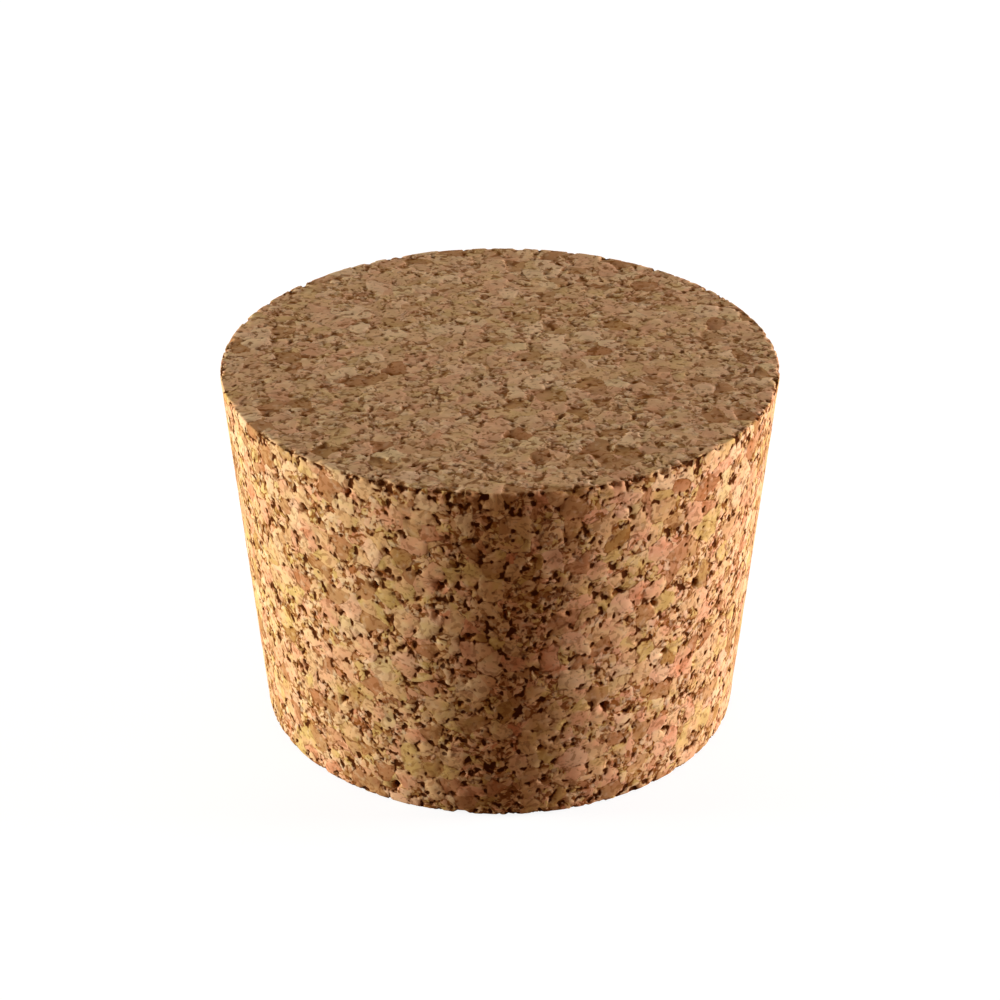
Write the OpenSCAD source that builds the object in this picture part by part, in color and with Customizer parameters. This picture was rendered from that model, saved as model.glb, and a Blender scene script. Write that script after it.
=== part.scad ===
// Tapered stopper of bonded cork granules, moulded as one block and ground to shape.
// Millimetres. The origin is the centre of the small end, and +Z runs to the wide end.

/* [Body] */
// Diameter of the wide end
top_d = 55.5; // [30:0.5:80]
// Diameter of the small end, which the stopper stands on
base_d = 49; // [26:0.5:76]
// Height from the small end to the wide end
height = 38; // [16:0.5:60]

/* [Edges] */
// Radius rubbed onto the edge of the wide end
top_edge_r = 0.3; // [0.2:0.05:1]
// Radius rubbed onto the edge of the small end
base_edge_r = 0.4; // [0.2:0.05:1]

/* [Pores] */
// Distance between neighbouring pores on the side
side_pore_gap = 6.5; // [6:0.25:14]
// Distance between neighbouring pores on the two ends
end_pore_gap = 8; // [7:0.25:14]
// Half the width of the narrowest pore
pore_r_min = 0.35; // [0.2:0.05:0.6]
// Half the width of the widest pore on the side
side_pore_r_max = 0.8; // [0.6:0.05:1.2]
// Half the width of the widest pore on the two ends
end_pore_r_max = 0.5; // [0.4:0.05:1]
// Length of the longest pore over its width
pore_slit = 2; // [1:0.1:3]
// Depth of a pore over half its width
pore_depth = 1.4; // [0.8:0.1:2]
// Number of the random draw that scatters the pores and chips
draw = 7; // [1:1:60]

/* [Chips] */
// Crumbs lost from the edge of the wide end, beside those at its front
top_chips = 12; // [0:1:24]
// Crumbs lost from the edge of the small end
base_chips = 12; // [0:1:30]
// Half the width of the smallest crumb
chip_r_min = 0.4; // [0.2:0.05:0.6]
// Half the width of the largest crumb
chip_r_max = 1; // [0.6:0.05:1.4]
// Length of a crumb along the edge, over its width
chip_long = 1.8; // [1:0.1:2.5]
// Depth of a crumb over half its width
chip_depth = 0.9; // [0.5:0.1:1.2]

/* [Hidden] */

cork = [0.78, 0.6, 0.42];
golden_angle = 180 * (3 - sqrt(5));
edge_steps = 3;
// Share of the gap by which a pore strays from its regular place, to each side
pore_stray = 0.35;
// Share of the room between two crumbs over which they stray
chip_stray = 0.8;
// Crumbs lost from the front of the wide end, as the photo shows them: the angle from the middle
// of the front to the right, half the width, and the length along the edge over the width
front_chips = [
    [-52, 0.65, 1.3],
    [-46, 0.75, 1],
    [-31, 0.65, 1],
    [-23, 1.1, 1.6],
    [-7.5, 1.05, 1.7],
    [4, 0.9, 1.3],
    [13, 0.85, 1.3],
    [22, 0.95, 1],
    [26.5, 1.05, 1.2],
    [33, 1.1, 1],
    [38.5, 0.75, 1.7]
];
// Angle of the middle of the front, and the angles beyond which the crumbs are scattered
front = -90;
front_reach = [-58, 46];
// Corners of a pit's outline, and the share by which a corner may lie closer in
pit_corners = 5;
pit_uneven = 0.45;
// Height above the surface from which a pit is cut
pit_rise = 0.5;
// First numbers of the draws, far enough apart to stay clear of one another
draws_apart = 10000;
side_draw = 100;
base_draw = 1100;
top_draw = 2100;
base_chip_draw = 3100;
top_chip_draw = 4100;
front_chip_draw = 5100;

top_r = top_d / 2;
base_r = base_d / 2;
// Lean of the side wall away from the axis
lean = atan((top_r - base_r) / height);
// Pores stay this far inside the edges, which have chips of their own
pore_margin = pore_slit * max(side_pore_r_max, end_pore_r_max) + max(top_edge_r, base_edge_r);

// Radius of the side wall at a height
function wall_r(z) = base_r + (top_r - base_r) * z / height;

// Points of a round edge of radius r, from angle a0 to a1, about its centre c
function edge_arc(c, r, a0, a1) =
    [for (i = [0 : edge_steps]) let (a = a0 + (a1 - a0) * i / edge_steps) c + r * [cos(a), sin(a)]];

// Centres of the rounds that touch the side wall and the small end, or the wide end
function base_edge_c() = [base_r - base_edge_r * tan(45 - lean / 2), base_edge_r];
function top_edge_c() = [top_r - top_edge_r * tan(45 + lean / 2), height - top_edge_r];

// Numbers from 0 to 1 that depend only on the draw and on what they are for
function chances(n, purpose) = rands(0, 1, n, draw * draws_apart + purpose);

// The value that lies a share of the way between two others
function between(low, high, share) = low + (high - low) * share;

module blank() {
    rotate_extrude($fn = 120)
        polygon(concat(
            [[0, 0]],
            edge_arc(base_edge_c(), base_edge_r, -90, -lean),
            edge_arc(top_edge_c(), top_edge_r, -lean, 90),
            [[0, height]]
        ));
}

// The cut for one pit: its uneven mouth lies in the local XY plane, and its tip is below
module pit(r, long, depth, purpose) {
    dents = chances(pit_corners, purpose);
    flare = 1 + pit_rise / depth;
    mouth = [
        for (i = [0 : pit_corners - 1])
            let (a = 360 * i / pit_corners, d = flare * r * (1 - pit_uneven * dents[i]))
            [long * d * cos(a), d * sin(a), pit_rise]
    ];
    polyhedron(
        points = concat(mouth, [[0, 0, -depth]]),
        faces = concat(
            [[for (i = [0 : pit_corners - 1]) pit_corners - 1 - i]],
            [for (i = [0 : pit_corners - 1]) [i, (i + 1) % pit_corners, pit_corners]]
        )
    );
}

// Number i of the pores of a surface, with its own chances of size, length and turn
module pore(i, r_max, purpose) {
    chance = chances(3, purpose + i);
    r = between(pore_r_min, r_max, pow(chance[0], 2));
    rotate([0, 0, 180 * chance[1]])
        pit(r, between(1, pore_slit, chance[2]), pore_depth * r, purpose + i);
}

// Carries its child to the side wall at a height and an angle, with +Z out of the wall
module on_wall(z, around) {
    rotate([0, 0, around]) translate([wall_r(z), 0, z]) rotate([0, 90 + lean, 0]) children();
}

// Pores scattered evenly over the side, as the scales of a cone are
module side_pores() {
    room = height - 2 * pore_margin;
    n = floor(PI * (top_r + base_r) * room / pow(side_pore_gap, 2));
    for (i = [0 : n - 1]) {
        stray = pore_stray * side_pore_gap * [for (s = chances(2, side_draw + n + i)) 2 * s - 1];
        z = between(pore_margin, height - pore_margin, (i + 0.5) / n);
        rise = min(max(z + stray[0], pore_margin), height - pore_margin);
        on_wall(rise, golden_angle * i + atan(stray[1] / wall_r(z)))
            pore(i, side_pore_r_max, side_draw);
    }
}

// Pores of a flat end of radius r that face up, clear of its centre
module end_pores(r, purpose) {
    reach = r - pore_margin;
    n = floor(PI * pow(reach, 2) / pow(end_pore_gap, 2));
    stray = pore_stray * end_pore_gap * chances(n, purpose);
    for (i = [0 : n - 1])
        rotate([0, 0, golden_angle * i])
            translate([reach * sqrt((i + 1) / n) - stray[i], 0, 0])
                pore(i, end_pore_r_max, purpose);
}

// One crumb gone from an edge of radius r at height z, where the edge points up by an angle
module chip(r, z, up, around, chip_r, long, purpose) {
    rotate([0, 0, around]) translate([r, 0, z]) rotate([0, 90 - up, 0]) rotate([0, 0, 90])
        pit(chip_r, long, chip_depth * chip_r, purpose);
}

// Crumbs scattered along an edge, from one angle to another
module edge_chips(r, z, up, count, purpose, from = 0, to = 360) {
    for (i = [1 : 1 : count]) {
        chance = chances(2, purpose + count + i);
        chip_r = between(chip_r_min, chip_r_max, chance[0]);
        share = (i - 1 + chip_stray * chance[1]) / count;
        chip(r, z, up, between(from, to, share), chip_r, chip_long, purpose + i);
    }
}

// Crumbs gone from the wide end: those seen at its front, and others around the rest of it
module top_edge_chips() {
    for (i = [0 : len(front_chips) - 1]) {
        seen = front_chips[i];
        chip(top_r, height, 45, front + seen[0], seen[1], seen[2], front_chip_draw + i);
    }
    edge_chips(top_r, height, 45, top_chips, top_chip_draw,
               front + front_reach[1], front + front_reach[0] + 360);
}

module stopper() {
    color(cork)
        difference() {
            blank();
            side_pores();
            rotate([180, 0, 0]) end_pores(base_r, base_draw);
            translate([0, 0, height]) end_pores(top_r, top_draw);
            edge_chips(base_r, 0, -45, base_chips, base_chip_draw);
            top_edge_chips();
        }
}

stopper();
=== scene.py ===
"""A tapered stopper of bonded cork granules, on a pale floor, lit mainly from its two sides.

The solid's own surface is sampled finely and given the relief that the granules, cracks and pits
have. One recipe, granules(), is built twice: as geometry nodes, which shape the mesh, and as shader
nodes, which colour and bump the same granules at the same places.
"""
import math

import bpy
import numpy as np
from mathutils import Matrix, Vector
from mathutils.bvhtree import BVHTree

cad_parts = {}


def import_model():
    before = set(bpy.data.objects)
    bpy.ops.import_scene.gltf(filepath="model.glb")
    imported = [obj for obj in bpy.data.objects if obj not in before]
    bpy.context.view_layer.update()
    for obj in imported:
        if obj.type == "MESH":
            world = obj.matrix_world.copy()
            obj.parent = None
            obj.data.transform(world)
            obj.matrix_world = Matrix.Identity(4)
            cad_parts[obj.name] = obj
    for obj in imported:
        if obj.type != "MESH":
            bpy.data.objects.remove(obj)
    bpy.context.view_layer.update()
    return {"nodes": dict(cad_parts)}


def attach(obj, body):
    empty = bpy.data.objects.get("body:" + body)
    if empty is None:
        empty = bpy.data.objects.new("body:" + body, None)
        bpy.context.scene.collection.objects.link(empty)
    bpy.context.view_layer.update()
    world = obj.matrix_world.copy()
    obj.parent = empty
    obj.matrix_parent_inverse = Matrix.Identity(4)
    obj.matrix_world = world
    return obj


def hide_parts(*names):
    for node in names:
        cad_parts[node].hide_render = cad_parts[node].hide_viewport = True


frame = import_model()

MM = 0.001
TAU = 2 * math.pi

# The mesh: cells across each end, an even number, the most triangles that it keeps, and the steps
# over each rounded edge
CELLS = 220
MOST_TRIANGLES = 198000
EDGE_STEPS = 4
# Radii rubbed onto the two edges, as in the part's source
BASE_EDGE = 0.4 * MM
TOP_EDGE = 0.3 * MM
# How fast the side widens with height, to tell the widest points of the solid from its pores
TAPER = 0.0855
# The stretch of the height, and the number of levels in it, where the side's line is measured
SIDE_STRETCH = (0.08, 0.92)
SIDE_LEVELS = 12
# The reach of the worn edges, over which pits get more and deeper
EDGE_REACH = 0.7 * MM
# How far above and below the smooth body the solid's surface is looked for
LOOK_FROM = 1 * MM
LOOK_DOWN = 4 * MM
# Depth of a real cut at which the relief inside it would fade out, and the least share that stays
DEEP_CUT = 0.5 * MM
RELIEF_IN_CUT = 0.3
# Sharpness of the change from the side to the flat ends, over the rounded edges
END_SHARPNESS = 8
# How much a face looks up or down, at least, where it belongs to an end and not to the side
END_FACING = 0.7

# The camera and what it looks at, on the stopper's axis
AIM_HEIGHT = 21.9 * MM
CAMERA_DISTANCE = 262 * MM
CAMERA_PITCH = math.radians(29.09)
LENS = 92.15


# ---------------------------------------------------------------- nodes

class Graph:
    """Adds nodes to a shader tree or a geometry tree, so that one recipe can serve both."""

    def __init__(self, tree):
        self.tree = tree

    def add(self, kind, **settings):
        node = self.tree.nodes.new(kind)
        for name, value in settings.items():
            setattr(node, name, value)
        return node

    def put(self, socket, value):
        """Gives a socket a number or a colour, or links another socket to it."""
        if isinstance(value, bpy.types.NodeSocket):
            self.tree.links.new(value, socket)
        else:
            socket.default_value = value

    def math(self, operation, a, b=0.0, clamp=False):
        node = self.add("ShaderNodeMath", operation=operation, use_clamp=clamp)
        self.put(node.inputs[0], a)
        self.put(node.inputs[1], b)
        return node.outputs[0]

    def vector(self, operation, a, b=(0.0, 0.0, 0.0), scale=None):
        node = self.add("ShaderNodeVectorMath", operation=operation)
        self.put(node.inputs[0], a)
        self.put(node.inputs[1], b)
        if scale is not None:
            self.put(node.inputs["Scale"], scale)
        return node.outputs["Value" if operation in ("DOT_PRODUCT", "LENGTH") else "Vector"]

    def ease(self, value, start, end, low=0.0, high=1.0):
        """Goes smoothly from low to high while value goes from start to end."""
        node = self.add("ShaderNodeMapRange", interpolation_type="SMOOTHSTEP")
        for name, number in (("Value", value), ("From Min", start), ("From Max", end),
                             ("To Min", low), ("To Max", high)):
            self.put(node.inputs[name], number)
        return node.outputs["Result"]

    def blend(self, share, a, b, kind="FLOAT"):
        node = self.add("ShaderNodeMix", data_type=kind)
        slots = {"FLOAT": (2, 3, 0), "VECTOR": (4, 5, 1), "RGBA": (6, 7, 2)}[kind]
        self.put(node.inputs[0], share)
        self.put(node.inputs[slots[0]], a)
        self.put(node.inputs[slots[1]], b)
        return node.outputs[slots[2]]

    def noise(self, at, size, detail=0.0, colour=False):
        node = self.add("ShaderNodeTexNoise")
        self.put(node.inputs["Vector"], at)
        self.put(node.inputs["Scale"], 1 / size)
        self.put(node.inputs["Detail"], detail)
        return node.outputs["Color" if colour else "Fac"]

    def cells(self, at, size, feature="F1"):
        node = self.add("ShaderNodeTexVoronoi", feature=feature)
        self.put(node.inputs["Vector"], at)
        self.put(node.inputs["Scale"], 1 / size)
        return node

    def split(self, vector):
        node = self.add("ShaderNodeSeparateXYZ")
        self.put(node.inputs[0], vector)
        return node.outputs


# ---------------------------------------------------------------- the cork

# Sizes in millimetres: a large flake, a crumb, and the distance between the places of specks
FLAKE = 2.0
CRUMB = 0.8
SPECK_SPACING = 0.95
# The share of the large flakes that is made of crumbs
CRUMBLED = 0.42
# Depths of the relief's cuts in millimetres
CRACK_DEPTH = 0.02
PIT_DEPTH = 0.08
EDGE_PIT_DEPTH = 0.22
SPECK_DEPTH = 0.06
HOLLOW_DEPTH = 0.06


def granules(g, rest, end, edge):
    """The cork at a point of the smooth body, in millimetres. end is 1 on the flat ends and 0 on
    the side, and edge goes to 1 at the two edges. Returns sockets: chance (three numbers of the
    granule), crack, pit, speck, hollow, bright and crumble (0 to 1), and height in millimetres,
    0 or less."""
    # The places are pushed about, so that the granules' outlines get ragged
    def shift(size, reach, detail):
        free = g.vector("SUBTRACT", g.noise(rest, size, detail, colour=True), (0.5, 0.5, 0.5))
        return g.vector("SCALE", free, scale=reach)

    at = g.vector("ADD", rest, shift(1.7, 1.0, 0.0))
    at = g.vector("ADD", at, shift(0.45, 0.28, 1.0))

    # Some of the large flakes are whole, and the others are made of crumbs. A layer gives each
    # granule's chance, the distance to its rim, and how a point lies along its tilt
    def layer(size):
        near = g.cells(at, size)
        away = g.vector("SUBTRACT", at, near.outputs["Position"])
        chance = near.outputs["Color"]
        lean = g.vector("DOT_PRODUCT", away, g.vector("SUBTRACT", chance, (0.5, 0.5, 0.5)))
        rim = g.cells(at, size, "DISTANCE_TO_EDGE").outputs["Distance"]
        return chance, g.math("MULTIPLY", rim, size), lean

    flake_chance, flake_rim, flake_lean = layer(FLAKE)
    crumb_chance, crumb_rim, crumb_lean = layer(CRUMB)
    whole = g.ease(g.split(flake_chance)[0], CRUMBLED, CRUMBLED + 0.01)
    chance = g.blend(whole, crumb_chance, flake_chance, "VECTOR")
    rim = g.blend(whole, g.math("MINIMUM", crumb_rim, flake_rim), flake_rim)
    lean = g.blend(whole, crumb_lean, flake_lean)

    # Cracks and pits open along the granules' rims
    crack_width = g.ease(g.noise(rest, 0.8, 1.0), 0.44, 0.66, -0.05, 0.10)
    crack = g.ease(g.math("SUBTRACT", crack_width, rim), -0.07, 0.07)
    pit_start = g.math("SUBTRACT", g.blend(end, 0.59, 0.67), g.math("MULTIPLY", edge, 0.13))
    upright = g.vector("MULTIPLY", rest, (1.0, 1.0, 0.8))
    pit_width = g.math("MULTIPLY", g.math("SUBTRACT", g.noise(upright, 0.7, 1.0), pit_start), 2.6)
    pit_edge = g.math("SUBTRACT", pit_width, rim)
    pit = g.ease(pit_edge, -0.07, 0.12)
    # A ring round each pit joins the hollows and takes their painted shade
    halo = g.ease(pit_edge, -0.26, 0.04, 0.0, 0.85)

    # Round specks in a few of the places
    dot_cells = g.cells(at, SPECK_SPACING)
    dot_chance = g.split(dot_cells.outputs["Color"])
    dot_gate = g.ease(dot_chance[1], g.blend(end, 0.82, 0.90), g.blend(end, 0.88, 0.96))
    dot_size = g.ease(dot_chance[2], 0.0, 1.0, 0.06, 0.26)
    speck = g.math("MULTIPLY", dot_gate,
                   g.ease(g.math("SUBTRACT", dot_size, dot_cells.outputs["Distance"]), -0.06, 0.06))

    # The hollows between loose crumbs, with short curls on the flat ends. Their brown is painted
    # shade
    crumble = g.noise(at, 0.50, 1.0)
    loose = g.blend(whole, 1.0, 0.5)
    curl_width = g.ease(g.noise(rest, 0.9, 1.0), 0.46, 0.66, -0.03, 0.12)
    curl = g.math("ABSOLUTE", g.math("SUBTRACT", g.noise(at, 1.0, 1.0), 0.5))
    curl = g.math("MULTIPLY", end, g.ease(g.math("SUBTRACT", curl_width, curl), 0.0, 0.06))
    shaded_hollow = g.ease(crumble, g.blend(end, 0.49, 0.43), g.blend(end, 0.38, 0.34))
    shaded_hollow = g.math("MAXIMUM", g.math("MULTIPLY", shaded_hollow, loose), g.math("MAXIMUM", curl, halo))
    bright = g.math("MULTIPLY", g.ease(g.noise(rest, 0.7, 1.5), 0.54, 0.70), loose)

    # The relief: each granule's own level and tilt, the crumbs' grain, a slow swell, and the cuts
    level = g.math("MULTIPLY", g.split(chance)[2], g.blend(end, -0.02, -0.12))
    tilt = g.math("MULTIPLY", lean, g.blend(end, 0.03, 0.12))
    grain = g.math("MULTIPLY", g.math("SUBTRACT", crumble, 0.5), g.math("MULTIPLY", loose, 0.07))
    swell = g.math("MULTIPLY", g.math("SUBTRACT", g.noise(at, 1.6, 0.5), 0.5), 0.05)
    swell = g.math("SUBTRACT", swell, 0.03)
    height = g.math("ADD", g.math("ADD", level, tilt), g.math("ADD", grain, swell))
    cuts = ((crack, -CRACK_DEPTH), (pit, g.blend(edge, -PIT_DEPTH, -EDGE_PIT_DEPTH)),
            (speck, -SPECK_DEPTH), (shaded_hollow, g.math("MULTIPLY", end, -HOLLOW_DEPTH)))
    for mask, depth in cuts:
        height = g.math("ADD", height, g.math("MULTIPLY", mask, depth))
    height = g.math("MINIMUM", height, 0.0)
    return {"chance": chance, "crack": crack, "pit": pit, "speck": speck, "shaded_hollow": shaded_hollow,
            "bright": bright, "crumble": crumble, "height": height}


# ---------------------------------------------------------------- the body's outline

def outline(cad):
    """Rows of (radius, height, outward r, outward z) from the flat of the small end to the flat of
    the wide end, and the side's radius at height 0 and its slope. The side's line comes from the
    solid: the widest point of each level."""
    co = np.array([v.co for v in cad.data.vertices])
    radius = np.hypot(co[:, 0], co[:, 1])
    top = co[:, 2].max()
    levels = np.linspace(SIDE_STRETCH[0] * top, SIDE_STRETCH[1] * top, SIDE_LEVELS)
    widest = []
    for low, high in zip(levels[:-1], levels[1:]):
        inside = np.flatnonzero((co[:, 2] >= low) & (co[:, 2] <= high))
        pick = inside[np.argmax(radius[inside] - TAPER * co[inside, 2])]
        widest.append((co[pick, 2], radius[pick]))
    slope, base = np.polyfit(*np.array(widest).T, 1)
    lean = math.atan(slope)
    low_centre = (base - BASE_EDGE * math.tan(math.pi / 4 - lean / 2), BASE_EDGE)
    high_centre = (base + slope * top - TOP_EDGE * math.tan(math.pi / 4 + lean / 2), top - TOP_EDGE)
    rows = []

    def arc(centre, r, a0, a1):
        for a in np.linspace(a0, a1, EDGE_STEPS + 1):
            rows.append((centre[0] + r * math.cos(a), centre[1] + r * math.sin(a),
                         math.cos(a), math.sin(a)))

    arc(low_centre, BASE_EDGE, -math.pi / 2, -lean)
    start = np.array(rows[-1])
    arc(high_centre, TOP_EDGE, -lean, math.pi / 2)
    side_end = np.array(rows[EDGE_STEPS + 1])
    steps = round((side_end[1] - start[1]) / (TAU * base / (4 * CELLS)))
    side = [tuple(start + (side_end - start) * k / steps) for k in range(1, steps)]
    return np.array(rows[:EDGE_STEPS + 1] + side + rows[EDGE_STEPS + 1:]), base, slope


def disc_points():
    """A square of (CELLS + 1)² points laid onto a disc of radius 1 in cells of equal area."""
    a, b = np.meshgrid(np.linspace(-1, 1, CELLS + 1), np.linspace(-1, 1, CELLS + 1), indexing="ij")
    wide = np.abs(a) > np.abs(b)
    radius = np.where(wide, a, b)
    with np.errstate(divide="ignore", invalid="ignore"):
        angle = np.where(wide, math.pi / 4 * b / a, math.pi / 2 - math.pi / 4 * a / b)
    angle = np.where(radius == 0, 0.0, angle)
    return radius * np.cos(angle), radius * np.sin(angle)


def smooth_body(rows):
    """Points, outward directions and quads of the body without its pores."""
    around = 4 * CELLS
    turn = TAU * np.arange(around) / around
    ring = np.stack([np.cos(turn), np.sin(turn)], 1)
    points = [np.concatenate([r * ring, np.full((around, 1), z)], 1) for r, z, _, _ in rows]
    out = [np.concatenate([nr * ring, np.full((around, 1), nz)], 1) for _, _, nr, nz in rows]
    column = np.arange(around)
    beside = (column + 1) % around
    quads = [np.stack([i * around + column, i * around + beside,
                       (i + 1) * around + beside, (i + 1) * around + column], 1)
             for i in range(len(rows) - 1)]
    count = len(rows) * around
    x, y = disc_points()
    inner = np.zeros(x.shape, bool)
    inner[1:-1, 1:-1] = True
    on_ring = np.round(np.arctan2(y, x) / TAU * around).astype(int) % around
    for first, (r, z, _, _), down in ((0, rows[0], True), (len(rows) - 1, rows[-1], False)):
        index = np.where(inner, 0, first * around + on_ring)
        index[inner] = count + np.arange(inner.sum())
        count += inner.sum()
        points.append(np.stack([x[inner] * r, y[inner] * r, np.full(inner.sum(), z)], 1))
        out.append(np.tile((0.0, 0.0, -1.0 if down else 1.0), (inner.sum(), 1)))
        corners = [index[:-1, :-1], index[1:, :-1], index[1:, 1:], index[:-1, 1:]]
        if down:
            corners.reverse()
        quads.append(np.stack(corners, -1).reshape(-1, 4))
    return np.concatenate(points), np.concatenate(out), np.concatenate(quads)


def cut_depths(cad, points, out):
    """How far the solid's surface lies below each point of the smooth body."""
    tree = BVHTree.FromPolygons([v.co for v in cad.data.vertices],
                                [p.vertices for p in cad.data.polygons])
    depths = np.zeros(len(points))
    for i, (start, way) in enumerate(zip(points + LOOK_FROM * out, -out)):
        distance = tree.ray_cast(Vector(start), Vector(way), LOOK_DOWN)[3]
        depths[i] = 0 if distance is None else distance - LOOK_FROM
    return np.maximum(depths, 0)


def new_mesh(name, points, faces):
    mesh = bpy.data.meshes.new(name)
    mesh.from_pydata(points.tolist(), [], faces.tolist())
    mesh.update()
    return mesh


def store(mesh, name, values):
    """Keeps a number or a vector for every point of the mesh, under a name."""
    kind = "FLOAT_VECTOR" if values.ndim == 2 else "FLOAT"
    field = "vector" if values.ndim == 2 else "value"
    layer = mesh.attributes.new(name, kind, "POINT")
    layer.data.foreach_set(field, values.astype(np.float32).ravel())


def edge_closeness(points, base, slope):
    """1 at the two edges, and less with the distance from the nearer one."""
    radius = np.hypot(points[:, 0], points[:, 1])
    top = points[:, 2].max()
    gap = np.minimum(np.hypot(radius - base, points[:, 2]),
                     np.hypot(radius - base - slope * top, points[:, 2] - top))
    return np.exp(-gap / EDGE_REACH)


def relief(points, ends, edges):
    """The height of the granules at each point, in metres, from the recipe as geometry nodes."""
    mesh = new_mesh("sampling", points, np.zeros((0, 3), int))
    store(mesh, "rest", points / MM)
    store(mesh, "end", ends)
    store(mesh, "edge", edges)
    sampler = bpy.data.objects.new("sampling", mesh)
    bpy.context.scene.collection.objects.link(sampler)
    tree = bpy.data.node_groups.new("granule_relief", "GeometryNodeTree")
    tree.interface.new_socket("Geometry", in_out="INPUT", socket_type="NodeSocketGeometry")
    tree.interface.new_socket("Geometry", in_out="OUTPUT", socket_type="NodeSocketGeometry")
    g = Graph(tree)

    def read(name, kind):
        node = g.add("GeometryNodeInputNamedAttribute", data_type=kind)
        node.inputs["Name"].default_value = name
        return node.outputs["Attribute"]

    cork = granules(g, read("rest", "FLOAT_VECTOR"), read("end", "FLOAT"), read("edge", "FLOAT"))
    keep = g.add("GeometryNodeStoreNamedAttribute", data_type="FLOAT", domain="POINT")
    keep.inputs["Name"].default_value = "height"
    g.put(keep.inputs["Geometry"], g.add("NodeGroupInput").outputs[0])
    g.put(keep.inputs["Value"], cork["height"])
    g.put(g.add("NodeGroupOutput").inputs[0], keep.outputs[0])
    sampler.modifiers.new("relief", "NODES").node_group = tree
    done = sampler.evaluated_get(bpy.context.evaluated_depsgraph_get())
    heights = np.zeros(len(points), np.float32)
    done.data.attributes["height"].data.foreach_get("value", heights)
    bpy.data.objects.remove(sampler)
    bpy.data.meshes.remove(mesh)
    bpy.data.node_groups.remove(tree)
    return heights * MM


def thinned(mesh):
    """The mesh with no more triangles than MOST_TRIANGLES, most of them where it bends."""
    shape = bpy.data.objects.new("thinning", mesh)
    bpy.context.scene.collection.objects.link(shape)
    triangles = sum(len(p.vertices) - 2 for p in mesh.polygons)
    if triangles > MOST_TRIANGLES:
        thin = shape.modifiers.new("thin", "DECIMATE")
        thin.ratio = MOST_TRIANGLES / triangles
    done = shape.evaluated_get(bpy.context.evaluated_depsgraph_get())
    result = bpy.data.meshes.new_from_object(done)
    bpy.data.objects.remove(shape)
    return result


def nearest_on_outline(points, rows):
    """The smooth body's nearest point to each point, how far it is, and its outward z."""
    radius = np.hypot(points[:, 0], points[:, 1])
    line = np.concatenate([[[0, rows[0][1], 0, -1]], rows, [[0, rows[-1][1], 0, 1]]])
    best = np.full(len(points), np.inf)
    rest_r = np.zeros(len(points))
    rest_z = np.zeros(len(points))
    out_z = np.zeros(len(points))
    side = line[1 + EDGE_STEPS:-1 - EDGE_STEPS]
    stretches = [line[:2], side[[0, -1]], line[-2:]]
    stretches += [line[i:i + 2] for i in range(1, 1 + EDGE_STEPS)]
    stretches += [line[i:i + 2] for i in range(len(line) - 2 - EDGE_STEPS, len(line) - 2)]
    for a, b in stretches:
        step = b - a
        long = step[0] ** 2 + step[1] ** 2
        t = np.clip(((radius - a[0]) * step[0] + (points[:, 2] - a[1]) * step[1]) / long, 0, 1)
        r, z = a[0] + t * step[0], a[1] + t * step[1]
        gap = np.hypot(radius - r, points[:, 2] - z)
        closer = gap < best
        best = np.where(closer, gap, best)
        rest_r = np.where(closer, r, rest_r)
        rest_z = np.where(closer, z, rest_z)
        out_z = np.where(closer, a[3] + t * step[3], out_z)
    turn = np.where(radius > 0, rest_r / np.maximum(radius, 1e-9), 0)
    return np.stack([points[:, 0] * turn, points[:, 1] * turn, rest_z], 1), best, out_z


def unwrap(mesh, rows, base_r, slope):
    """A UV map without overlaps: the side as three upright strips, and the two ends above them."""
    gap = 1 * MM
    top_r = base_r + slope * rows[-1][1]
    strips = 3
    strip_width = math.hypot(rows[-1][1], top_r - base_r)
    strip_length = TAU * top_r / strips
    wide = max(strips * (strip_width + gap), 2 * (top_r + base_r) + 2 * gap)
    page = max(wide, strip_length + 2 * top_r + 2 * gap) + gap
    loops = np.zeros(len(mesh.loops), int)
    mesh.loops.foreach_get("vertex_index", loops)
    rest = np.zeros(len(mesh.vertices) * 3, np.float32)
    mesh.attributes["rest"].data.foreach_get("vector", rest)
    rest = rest.reshape(-1, 3) * MM
    end = np.zeros(len(mesh.vertices), np.float32)
    mesh.attributes["out_z"].data.foreach_get("value", end)
    sizes = np.zeros(len(mesh.polygons), int)
    mesh.polygons.foreach_get("loop_total", sizes)
    face = np.repeat(np.arange(len(sizes)), sizes)
    corner = rest[loops]
    mean = np.stack([np.bincount(face, corner[:, k]) / sizes for k in range(3)], 1)
    facing = np.bincount(face, end[loops]) / sizes
    middle = np.arctan2(mean[:, 1], mean[:, 0])
    strip = np.floor((middle + math.pi) / TAU * strips).clip(0, strips - 1)
    centre = -math.pi + (strip + 0.5) * TAU / strips
    turn = np.arctan2(corner[:, 1], corner[:, 0]) - centre[face]
    turn = (turn + math.pi) % TAU - math.pi
    along = turn * base_r + strip_length / 2 + gap
    across = np.hypot(corner[:, 2], np.hypot(corner[:, 0], corner[:, 1]) - base_r)
    u = gap + strip[face] * (strip_width + gap) + across
    v = along
    for sign, r, first in ((1, top_r, gap), (-1, base_r, 2 * gap + 2 * top_r)):
        ours = facing[face] * sign > END_FACING
        u = np.where(ours, first + r + corner[:, 0] * sign, u)
        v = np.where(ours, strip_length + 2 * gap + top_r + corner[:, 1], v)
    layer = mesh.uv_layers.new(name="OFBake")
    layer.data.foreach_set("uv", (np.stack([u, v], 1) / page).astype(np.float32).ravel())
    mesh.uv_layers.active = layer


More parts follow.
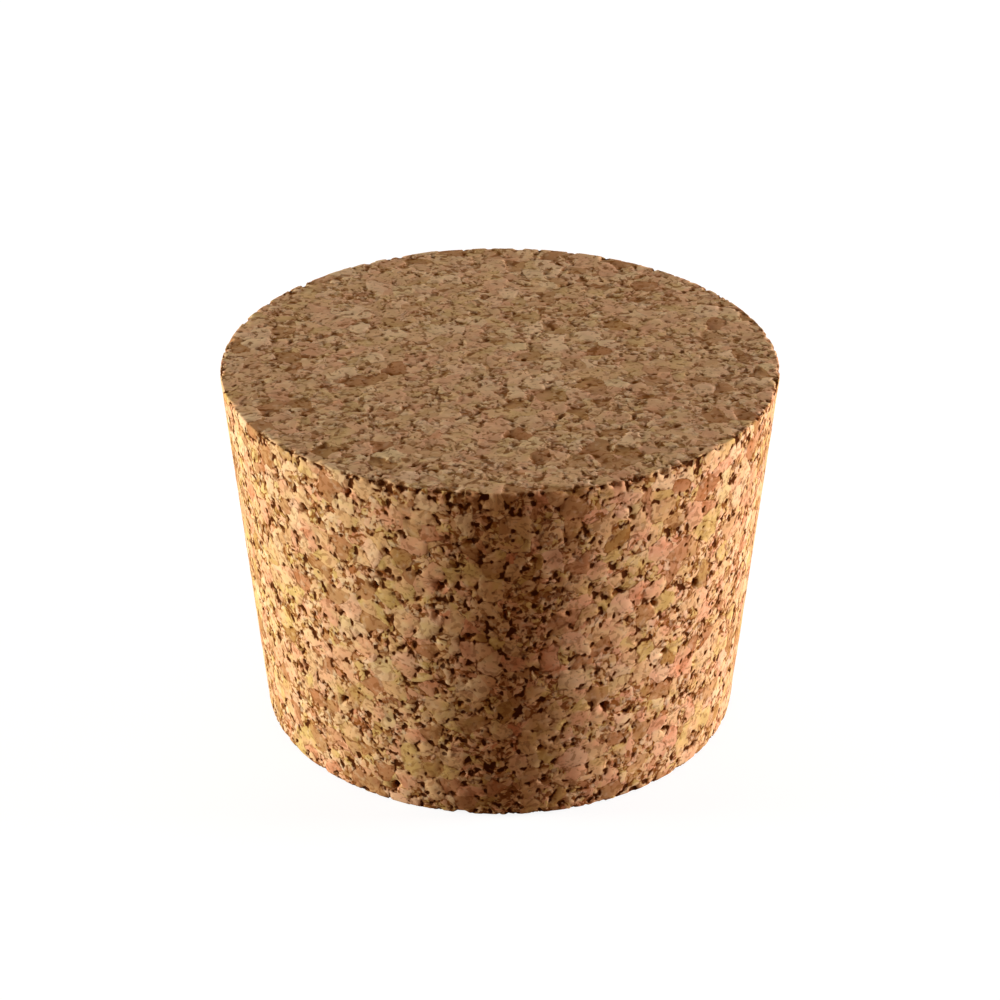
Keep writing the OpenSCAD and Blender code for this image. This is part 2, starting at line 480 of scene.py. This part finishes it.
def cork_body(cad):
    """The stopper as a fine mesh: the solid's surface, its pores and chips, and the granules."""
    rows, base, slope = outline(cad)
    points, out, quads = smooth_body(rows)
    ends = np.abs(out[:, 2]) ** END_SHARPNESS
    cuts = cut_depths(cad, points, out)
    heights = relief(points, ends, edge_closeness(points, base, slope))
    inside = np.clip(1 - cuts / DEEP_CUT, RELIEF_IN_CUT, 1)
    shaped = points + out * (heights * inside - cuts)[:, None]
    mesh = thinned(new_mesh("cork_stopper", shaped, quads))
    co = np.zeros(len(mesh.vertices) * 3, np.float32)
    mesh.vertices.foreach_get("co", co)
    co = co.reshape(-1, 3)
    co[:, 2] = np.clip(co[:, 2], rows[0][1], rows[-1][1])
    mesh.vertices.foreach_set("co", co.ravel())
    rest, depth, out_z = nearest_on_outline(co, rows)
    store(mesh, "rest", rest / MM)
    store(mesh, "end", np.abs(out_z) ** END_SHARPNESS)
    store(mesh, "edge", edge_closeness(rest, base, slope))
    # The depth below the smooth body, which the material reads to paint shade into the cuts
    store(mesh, "depth", depth / MM)
    store(mesh, "out_z", out_z)
    unwrap(mesh, rows, base, slope)
    mesh.attributes.remove(mesh.attributes["out_z"])
    mesh.polygons.foreach_set("use_smooth", [True] * len(mesh.polygons))
    body = bpy.data.objects.new("cork_stopper", mesh)
    bpy.context.scene.collection.objects.link(body)
    return body


# ---------------------------------------------------------------- materials

def paint(red, green, blue):
    """A colour given as it looks on screen, 0 to 255, as the shaders take it."""
    def linear(c):
        c /= 255
        return c / 12.92 if c <= 0.04045 else ((c + 0.055) / 1.055) ** 2.4
    return linear(red), linear(green), linear(blue), 1.0


# The granules' colours, from olive through gold, tan and salmon to rust
GRANULE_COLOURS = (
    (0.00, paint(184, 145, 66)),
    (0.20, paint(210, 171, 94)),
    (0.38, paint(217, 164, 106)),
    (0.52, paint(225, 178, 119)),
    (0.66, paint(220, 159, 109)),
    (0.82, paint(224, 157, 112)),
    (1.00, paint(202, 115, 68)),
)
PLAIN_CORK = paint(206, 163, 119)
PALE_CORK = paint(238, 208, 162)
DARK_CORK = paint(152, 94, 42)
# Painted shade: the brown of the hollows, the curls, the rings round pits and the shallower cuts
HOLLOW_SHADE = paint(128, 70, 20)
CRACK_COLOUR = paint(108, 52, 8)
# Near-black: in the pits partly their dark powder and partly painted shade, in the deepest cuts
# painted shade, and the specks' own dark
PIT_SHADE_AND_SPECK_COLOUR = paint(74, 34, 8)
FLOOR_COLOUR = paint(126, 120, 112)
# How bright the floor shows to the camera beside its own colour, and the world to the stopper
FLOOR_GLOW = 0.90
WORLD_LIGHT = 0.006


def cork_material():
    """The granules' colours, the dark of the cracks, the pits' near-black (partly their dark
    powder, partly painted shade), painted shade in the hollows and real cuts, and a slight bump.
    """
    material = bpy.data.materials.new("bonded_cork")
    material.use_nodes = True
    tree = material.node_tree
    tree.nodes.clear()
    g = Graph(tree)

    def read(name, output):
        return g.add("ShaderNodeAttribute", attribute_name=name).outputs[output]

    rest = read("rest", "Vector")
    end = read("end", "Fac")
    edge = read("edge", "Fac")
    cork = granules(g, rest, end, edge)
    chance = g.split(cork["chance"])
    ramp = g.add("ShaderNodeValToRGB")
    stops = ramp.color_ramp.elements
    while len(stops) > 1:
        stops.remove(stops[-1])
    stops[0].position, stops[0].color = GRANULE_COLOURS[0]
    for place, colour in GRANULE_COLOURS[1:]:
        stops.new(place).color = colour
    drift = g.ease(g.noise(rest, 2.2, 1.0), 0.30, 0.70)
    g.put(ramp.inputs["Fac"], g.blend(0.65, drift, chance[1]))
    colour = g.blend(g.blend(end, 0.2, 0.6), ramp.outputs["Color"], PLAIN_CORK, "RGBA")
    pale = g.math("MULTIPLY", g.ease(chance[2], 0.30, 0.05), g.blend(end, 0.25, 0.3))
    colour = g.blend(pale, colour, PALE_CORK, "RGBA")
    brown = g.math("MULTIPLY", g.ease(chance[2], 0.66, 0.95), g.blend(end, 0.65, 0.6))
    colour = g.blend(brown, colour, DARK_CORK, "RGBA")
    # Painted shade: the hollows, curls and rings round pits turn brown, less so on the ends
    shaded_hollow = g.math("MULTIPLY", cork["shaded_hollow"], g.blend(end, 0.9, 0.65))
    colour = g.blend(shaded_hollow, colour, HOLLOW_SHADE, "RGBA")
    bright = g.math("MULTIPLY", cork["bright"], g.blend(end, 0.42, 0.35))
    colour = g.blend(bright, colour, PALE_CORK, "RGBA")
    mottle = g.ease(g.noise(rest, 1.3, 1.0), 0.32, 0.68, 0.94, 1.06)
    broad = g.ease(g.noise(rest, 3.2), 0.35, 0.65, 0.97, 1.03)
    colour = g.vector("SCALE", colour, scale=g.math("MULTIPLY", mottle, broad))
    crack = g.math("MULTIPLY", cork["crack"], g.blend(end, 0.7, 0.35))
    colour = g.blend(crack, colour, CRACK_COLOUR, "RGBA")
    # Painted shade: brown where the surface lies about 0.15 to 0.30 mm or more below the smooth
    # body
    depth = read("depth", "Fac")
    cut_shade = g.math("MULTIPLY", g.ease(depth, 0.15, 0.30), 0.8)
    colour = g.blend(cut_shade, colour, HOLLOW_SHADE, "RGBA")
    # Painted shade: near-black further down, with a ragged border, reaching shallower cuts near the
    # edges
    ragged = g.math("MULTIPLY", g.math("SUBTRACT", cork["crumble"], 0.5), 0.4)
    ragged = g.math("SUBTRACT", g.math("ADD", depth, ragged), 0.12)
    deep_cut_shade = g.math("MULTIPLY", ragged, g.math("ADD", 1.0, g.math("MULTIPLY", edge, 2.0)))
    deep_cut_shade = g.ease(deep_cut_shade, 0.22, 0.40)
    # The pits' near-black is partly dark powder and partly painted shade, the deepest cuts' is
    # painted shade, and the specks are dark of their own; less of it on the ends
    dark = g.math("MAXIMUM", g.math("MAXIMUM", cork["pit"], deep_cut_shade),
                  g.math("MULTIPLY", cork["speck"], 0.85))
    colour = g.blend(g.math("MULTIPLY", dark, g.blend(end, 1.0, 0.45)), colour, PIT_SHADE_AND_SPECK_COLOUR, "RGBA")

    shader = g.add("ShaderNodeBsdfPrincipled")
    g.put(shader.inputs["Base Color"], colour)
    shader.inputs["Roughness"].default_value = 0.9
    shader.inputs["Specular IOR Level"].default_value = 0.02
    bump = g.add("ShaderNodeBump")
    bump.inputs["Strength"].default_value = 0.2
    bump.inputs["Distance"].default_value = 1.0 * MM
    g.put(bump.inputs["Height"], cork["height"])
    g.put(shader.inputs["Normal"], bump.outputs[0])
    g.put(g.add("ShaderNodeOutputMaterial").inputs["Surface"], shader.outputs[0])
    return material


def shown_to_camera(g):
    """1 where a ray comes straight, by mirror or through glass from the camera."""
    path = g.add("ShaderNodeLightPath")
    seen = g.math("MAXIMUM", path.outputs["Is Camera Ray"], path.outputs["Is Glossy Ray"])
    return g.math("MAXIMUM", seen, path.outputs["Is Transmission Ray"])


def floor_material():
    """A pale floor that shows white to the camera and keeps the stopper's shadow."""
    material = bpy.data.materials.new("pale_floor")
    material.use_nodes = True
    tree = material.node_tree
    tree.nodes.clear()
    g = Graph(tree)
    matt = g.add("ShaderNodeBsdfDiffuse")
    matt.inputs["Color"].default_value = FLOOR_COLOUR
    glow = g.add("ShaderNodeEmission")
    g.put(glow.inputs["Strength"], g.math("MULTIPLY", shown_to_camera(g), FLOOR_GLOW))
    both = g.add("ShaderNodeAddShader")
    g.put(both.inputs[0], matt.outputs[0])
    g.put(both.inputs[1], glow.outputs[0])
    g.put(g.add("ShaderNodeOutputMaterial").inputs["Surface"], both.outputs[0])
    return material


# ---------------------------------------------------------------- the stage

# The slight tints of the lamps on the left and on the right
LEFT_LIGHT = (0.92, 1.0, 1.08)
RIGHT_LIGHT = (0.98, 0.98, 1.15)


def floor():
    half = 3.0
    mesh = bpy.data.meshes.new("floor")
    mesh.from_pydata([(-half, -half, 0), (half, -half, 0), (half, half, 0), (-half, half, 0)],
                     [], [(0, 1, 2, 3)])
    ground = bpy.data.objects.new("floor", mesh)
    bpy.context.scene.collection.objects.link(ground)
    mesh.materials.append(floor_material())


def lamp(name, azimuth, power, colour, height=0.08, distance=0.60, width=0.18):
    """A square soft box, as large as width, that faces the stopper. Azimuth 0 is the camera's
    side, and 90 is to the right. Height and distance from the axis are in metres."""
    data = bpy.data.lights.new(name, "AREA")
    data.shape = "RECTANGLE"
    data.size, data.size_y = width, width
    data.energy = power
    data.color = colour
    light = bpy.data.objects.new(name, data)
    a = math.radians(azimuth)
    light.location = (distance * math.sin(a), -distance * math.cos(a), height)
    aim = Vector((0, 0, AIM_HEIGHT)) - light.location
    light.rotation_euler = aim.to_track_quat("-Z", "Y").to_euler()
    light.visible_camera = False
    bpy.context.scene.collection.objects.link(light)


def world():
    """White to the camera, and nearly dark to the stopper."""
    sky = bpy.data.worlds.new("pale_room")
    bpy.context.scene.world = sky
    sky.use_nodes = True
    tree = sky.node_tree
    tree.nodes.clear()
    g = Graph(tree)
    back = g.add("ShaderNodeBackground")
    g.put(back.inputs["Strength"], g.blend(shown_to_camera(g), WORLD_LIGHT, 1.0))
    back.inputs["Color"].default_value = (1, 1, 1, 1)
    g.put(g.add("ShaderNodeOutputWorld").inputs["Surface"], back.outputs[0])


def camera():
    data = bpy.data.cameras.new("camera")
    data.lens = LENS
    data.clip_start = 0.01
    eye = bpy.data.objects.new("camera", data)
    eye.location = (0, -CAMERA_DISTANCE * math.cos(CAMERA_PITCH),
                    AIM_HEIGHT + CAMERA_DISTANCE * math.sin(CAMERA_PITCH))
    eye.rotation_euler = (math.pi / 2 - CAMERA_PITCH, 0, 0)
    bpy.context.scene.collection.objects.link(eye)
    bpy.context.scene.camera = eye


camera()
stopper = cork_body(frame["nodes"]["stopper"])
stopper.data.materials.append(cork_material())
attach(stopper, "root")
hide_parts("stopper")

floor()
world()
lamp("left_softbox", -91, 7.4, LEFT_LIGHT)
lamp("left_rear_softbox", -125, 0.5, LEFT_LIGHT)
lamp("right_softbox", 95, 7.4, RIGHT_LIGHT)
lamp("right_rear_softbox", 130, 0.5, RIGHT_LIGHT)
lamp("front_fill", 0, 0.56, (1.0, 0.52, 0.25), height=0.20, width=0.40)
lamp("top_softbox", 180, 0.88, (1.0, 1.0, 1.0), height=0.60, distance=0.25, width=0.30)
bpy.context.scene.view_settings.view_transform = "Standard"
